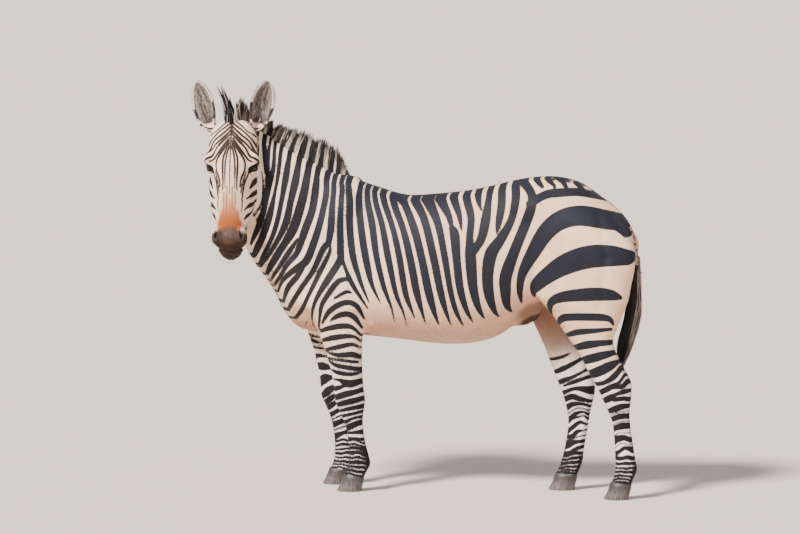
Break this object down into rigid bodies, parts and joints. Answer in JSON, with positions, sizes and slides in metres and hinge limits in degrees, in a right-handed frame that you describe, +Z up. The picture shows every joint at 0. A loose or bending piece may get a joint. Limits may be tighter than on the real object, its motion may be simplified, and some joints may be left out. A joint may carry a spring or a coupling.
{
  "type": "mountain zebra",
  "caption": "Life-size still model of an adult mountain zebra, standing with its head turned to its left.",
  "frame": {"origin": "middle of the bounding box's base, on the floor", "axes": "+X from head to tail along the trunk, -Y toward the animal's own left side, +Z up"},
  "size_m": [2.011, 0.5014, 1.8076],
  "materials": {
    "coat": "short flat hair in cream and blue-black stripes, pale tan under the belly",
    "mane_hair": "coarse upright hair, banded black and cream",
    "tail_hair": "long coarse black hair",
    "horn": "dull grey-brown horn",
    "eye": "wet dark brown"
  },
  "bodies": {
    "root": {"trunk": "coat", "neck": "coat", "head": "coat", "eye_right": "eye", "ear_right": "coat", "eye_left": "eye", "ear_left": "coat", "mane": "mane_hair", "forelock": "mane_hair", "leg_fore_left_upper": "coat", "leg_fore_left_lower": "coat", "hoof_fore_left": "horn", "leg_fore_right_upper": "coat", "leg_fore_right_lower": "coat", "hoof_fore_right": "horn", "leg_hind_left_upper": "coat", "leg_hind_left_lower": "coat", "hoof_hind_left": "horn", "leg_hind_right_upper": "coat", "leg_hind_right_lower": "coat", "hoof_hind_right": "horn", "tail_dock": "coat", "tail_tuft": "tail_hair"}
  },
  "joints": []
}
